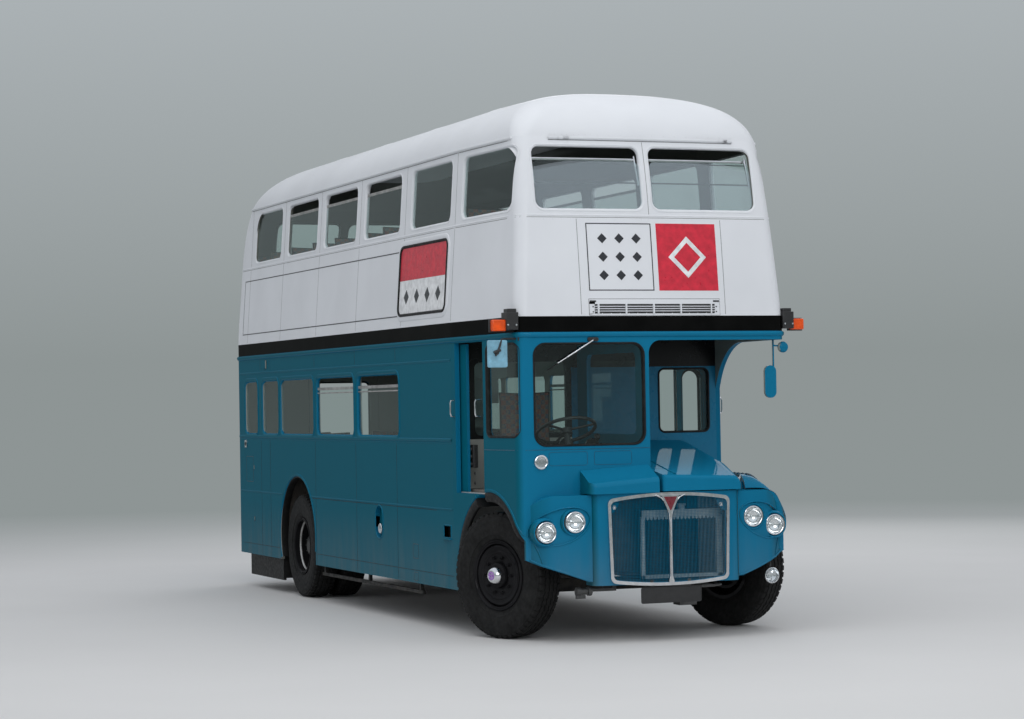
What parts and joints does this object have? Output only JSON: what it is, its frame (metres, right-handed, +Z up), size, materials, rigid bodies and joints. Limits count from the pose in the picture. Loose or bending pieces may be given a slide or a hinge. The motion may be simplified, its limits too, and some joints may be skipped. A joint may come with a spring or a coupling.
{
  "type": "half-cab double-deck bus",
  "caption": "Half-cab double-deck bus with front radiator, raised driver's cab, sliding cab door, folding nearside entrance doors, and a lower and an upper saloon.",
  "frame": {"origin": "on the ground, at the middle of the overall length and width", "axes": "+Z up, the front faces -Y, +X is the nearside (the bus's left)"},
  "size_m": [2.786, 8.382, 4.3769],
  "materials": {
    "body_paint": "petrol blue gloss coach paint, lightly weathered",
    "upper_paint": "off-white gloss coach paint",
    "black_paint": "black gloss paint",
    "interior_paint": "pale grey enamel",
    "chassis_paint": "matt black chassis paint, road dirt",
    "wheel_paint": "black gloss paint",
    "bright_trim": "polished bright plate",
    "cast_metal": "cast and machined, oily",
    "rusty_steel": "steel tube, light rust",
    "radiator_core": "blackened tube core",
    "window_glass": "clear toughened glass",
    "lamp_lens": "fluted lamp glass",
    "amber_plastic": "orange lens",
    "black_plastic": "moulded black plastic",
    "black_rubber": "black sheet rubber",
    "tyre_rubber": "road tyre",
    "floor_covering": "ribbed floor covering on ply",
    "seat_cloth": "patterned moquette over foam"
  },
  "bodies": {
    "body": {"cab_floor": "floor_covering", "cab_glass": "window_glass", "cab_shell": "body_paint", "chassis_frame": "chassis_paint", "dashboard": "black_plastic", "deck_floor": "black_paint", "driver_seat": "seat_cloth", "engine": "cast_metal", "exhaust": "rusty_steel", "front_axle": "chassis_paint", "front_bulkhead": "interior_paint", "fuel_tank": "chassis_paint", "grille": "bright_trim", "grille_mesh": "body_paint", "guard_rails": "chassis_paint", "handrails": "bright_trim", "headlamps": "lamp_lens", "lower_floor": "floor_covering", "lower_glass": "window_glass", "lower_rear": "body_paint", "lower_side_left": "body_paint", "lower_side_right": "body_paint", "mirrors": "black_plastic", "mudflaps": "black_rubber", "radiator": "radiator_core", "radiator_cowl": "body_paint", "rear_axle": "cast_metal", "roof": "upper_paint", "seat_frames": "bright_trim", "seats": "seat_cloth", "small_lamps": "amber_plastic", "staircase": "interior_paint", "upper_front": "upper_paint", "upper_glass": "window_glass", "upper_rear": "upper_paint", "upper_side_left": "upper_paint", "upper_side_right": "upper_paint", "wing_left": "body_paint", "wing_right": "body_paint", "wiper": "bright_trim"},
    "knuckle_right": {"knuckle_right": "cast_metal"},
    "knuckle_left": {"knuckle_left": "cast_metal"},
    "wheel_front_right": {"tyre_front_right": "tyre_rubber", "rim_front_right": "wheel_paint"},
    "wheel_front_left": {"tyre_front_left": "tyre_rubber", "rim_front_left": "wheel_paint"},
    "wheels_rear_right": {"tyres_rear_right": "tyre_rubber", "rims_rear_right": "wheel_paint"},
    "wheels_rear_left": {"tyres_rear_left": "tyre_rubber", "rims_rear_left": "wheel_paint"},
    "steering_wheel": {"steering_wheel": "black_plastic"},
    "cab_door": {"cab_door": "body_paint"},
    "leaf_front_a": {"leaf_front_a": "body_paint"},
    "leaf_front_b": {"leaf_front_b": "body_paint"},
    "leaf_rear_a": {"leaf_rear_a": "body_paint"},
    "leaf_rear_b": {"leaf_rear_b": "body_paint"},
    "rear_door": {"rear_door": "body_paint"},
    "bonnet": {"bonnet": "body_paint"}
  },
  "joints": [
    {"name": "steer_right", "type": "hinge", "parent": "body", "child": "knuckle_right", "pos_m": [-0.87, -3.221, 0.502], "axis": [0, 0, 1], "range_deg": [-60, 16]},
    {"name": "steer_left", "type": "hinge", "parent": "body", "child": "knuckle_left", "pos_m": [0.87, -3.221, 0.502], "axis": [0, 0, 1], "range_deg": [-60, 16]},
    {"name": "steering_wheel_turn", "type": "hinge", "parent": "body", "child": "steering_wheel", "pos_m": [-0.6, -3.551, 1.64], "axis": [0, 0.4226, 0.9063], "range_deg": [-960, 256]},
    {"name": "spin_front_right", "type": "hinge", "parent": "knuckle_right", "child": "wheel_front_right", "pos_m": [-1.00908, -3.27719, 0.502], "axis": [0.9272, 0.3746, 0], "continuous": true},
    {"name": "spin_front_left", "type": "hinge", "parent": "knuckle_left", "child": "wheel_front_left", "pos_m": [1.00908, -3.16481, 0.502], "axis": [0.9272, 0.3746, 0], "continuous": true},
    {"name": "spin_rear_right", "type": "hinge", "parent": "body", "child": "wheels_rear_right", "pos_m": [-0.9, 1.91, 0.502], "axis": [1, 0, 0], "continuous": true},
    {"name": "spin_rear_left", "type": "hinge", "parent": "body", "child": "wheels_rear_left", "pos_m": [0.9, 1.91, 0.502], "axis": [1, 0, 0], "continuous": true},
    {"name": "cab_door_slide", "type": "slide", "parent": "body", "child": "cab_door", "axis": [0, -1, 0], "range_m": [0, 0.425]},
    {"name": "leaf_front_a_swing", "type": "hinge", "parent": "body", "child": "leaf_front_a", "pos_m": [1.145, -2.482, 1.35], "axis": [0, 0, 1], "range_deg": [-90, 0]},
    {"name": "leaf_front_b_fold", "type": "hinge", "parent": "leaf_front_a", "child": "leaf_front_b", "pos_m": [0.8615, -2.464, 1.35], "axis": [0, 0, 1], "range_deg": [0, 180]},
    {"name": "leaf_rear_a_swing", "type": "hinge", "parent": "body", "child": "leaf_rear_a", "pos_m": [1.145, -1.34, 1.35], "axis": [0, 0, 1], "range_deg": [0, 90]},
    {"name": "leaf_rear_b_fold", "type": "hinge", "parent": "leaf_rear_a", "child": "leaf_rear_b", "pos_m": [0.8615, -1.358, 1.35], "axis": [0, 0, 1], "range_deg": [-180, 0]},
    {"name": "rear_door_swing", "type": "hinge", "parent": "body", "child": "rear_door", "pos_m": [-0.398, 4.182, 1.5], "axis": [0, 0, 1], "range_deg": [0, 100]},
    {"name": "bonnet_lift", "type": "hinge", "parent": "body", "child": "bonnet", "pos_m": [-0.05, -2.609, 1.562], "axis": [0, -0.9863, -0.165], "range_deg": [0, 50]}
  ],
  "couplings": [
    {"joint": "steer_left", "follows": "steer_right", "ratio": 1},
    {"joint": "steering_wheel_turn", "follows": "steer_right", "ratio": 16},
    {"joint": "leaf_front_b_fold", "follows": "leaf_front_a_swing", "ratio": -2},
    {"joint": "leaf_rear_b_fold", "follows": "leaf_rear_a_swing", "ratio": -2}
  ]
}
